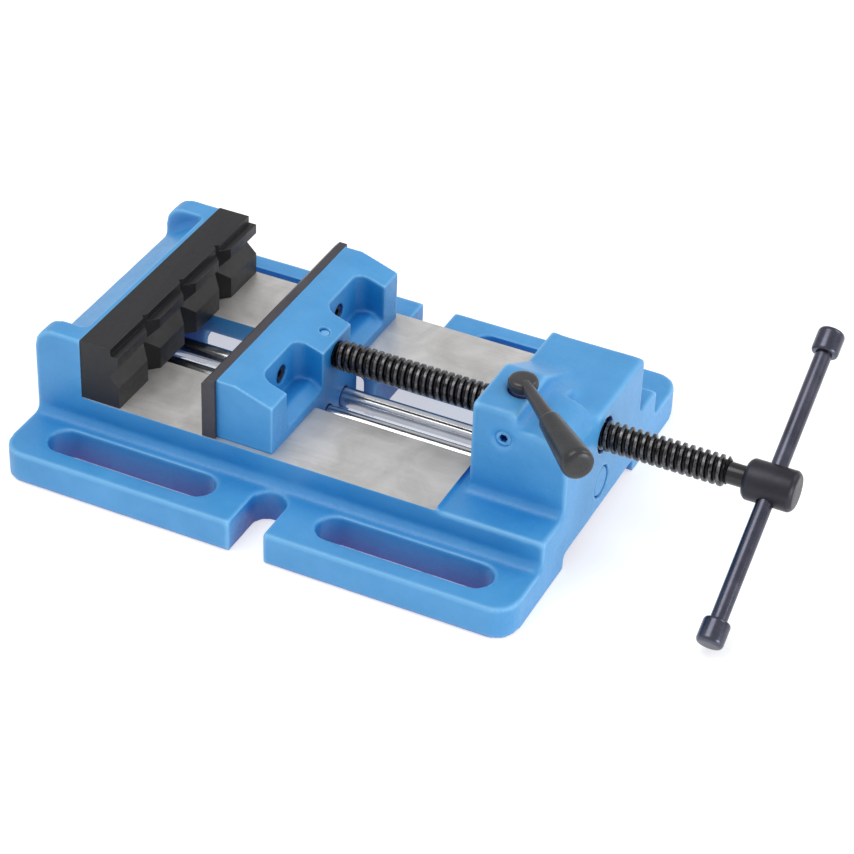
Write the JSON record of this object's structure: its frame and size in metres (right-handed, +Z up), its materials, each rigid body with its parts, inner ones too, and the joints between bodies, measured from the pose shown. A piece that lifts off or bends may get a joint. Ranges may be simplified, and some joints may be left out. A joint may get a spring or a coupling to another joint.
{
  "type": "quick-release drill press vise",
  "caption": "Low drill press vise with a prism jaw, a screw-driven sliding jaw on guide rods, slotted mounting flanges and a quick-release lever.",
  "frame": {"origin": "centre of the four mounting slots, on the underside of the base", "axes": "+X from the fixed jaw towards the handle, +Y across the vise away from the release lever, +Z up from the table"},
  "size_m": [0.292, 0.169, 0.0786],
  "materials": {
    "enamel_blue": "satin enamel over rough cast iron",
    "black_oxide": "black oxide, satin",
    "jaw_grey": "dark oxide, satin",
    "screw_black": "black oxide",
    "ground_steel": "ground and polished",
    "plain_steel": "machined",
    "spindle_black": "black oxide, oiled",
    "handle_dark": "dark oxide, polished",
    "lever_black": "black oxide, satin",
    "lever_plastic": "moulded, slightly rough",
    "bronze": "machined bronze"
  },
  "bodies": {
    "base": {"base_casting": "enamel_blue", "prism_jaw_plate": "black_oxide", "fixed_jaw_screws": "screw_black", "guide_rod_near": "ground_steel", "guide_rod_far": "ground_steel", "rod_lock_screws": "screw_black", "nut_cover": "plain_steel", "nut_cover_screws": "screw_black", "cam_lock_screw": "screw_black", "end_plug": "enamel_blue", "nut_springs": "plain_steel"},
    "sliding_jaw": {"moving_jaw": "enamel_blue", "moving_jaw_plate": "jaw_grey", "moving_jaw_screws": "screw_black", "thrust_disc": "ground_steel", "spindle_pin": "enamel_blue"},
    "screw": {"spindle": "spindle_black", "spindle_hub": "handle_dark", "hub_pin": "handle_dark"},
    "bar": {"tommy_bar": "handle_dark", "bar_cap_upper": "handle_dark", "bar_cap_lower": "handle_dark"},
    "lever": {"cam_shaft": "plain_steel", "lever_hub": "lever_black", "lever_arm": "lever_black", "lever_grip": "lever_plastic"},
    "nut": {"half_nut": "bronze"}
  },
  "joints": [
    {"name": "jaw_slide", "type": "slide", "parent": "base", "child": "sliding_jaw", "axis": [1, 0, 0], "range_m": [-0.036, 0.069]},
    {"name": "spindle_turn", "type": "hinge", "parent": "sliding_jaw", "child": "screw", "pos_m": [0, 0, 0.04], "axis": [1, 0, 0], "range_deg": [-4321, 8281]},
    {"name": "tommy_bar_slide", "type": "slide", "parent": "screw", "child": "bar", "axis": [0, 0.8508, 0.5255], "range_m": [-0.0475, 0.0475]},
    {"name": "release_lever", "type": "hinge", "parent": "base", "child": "lever", "pos_m": [0.0814, -0.0202, 0.04], "axis": [0, 0, 1], "range_deg": [-120, 0]},
    {"name": "half_nut_slide", "type": "slide", "parent": "base", "child": "nut", "axis": [0, 1, 0], "range_m": [-0.003, 0]}
  ],
  "couplings": [
    {"joint": "spindle_turn", "follows": "jaw_slide", "rad_per_m": 2094.4},
    {"joint": "half_nut_slide", "follows": "release_lever", "m_per_rad": 0.0014323}
  ]
}
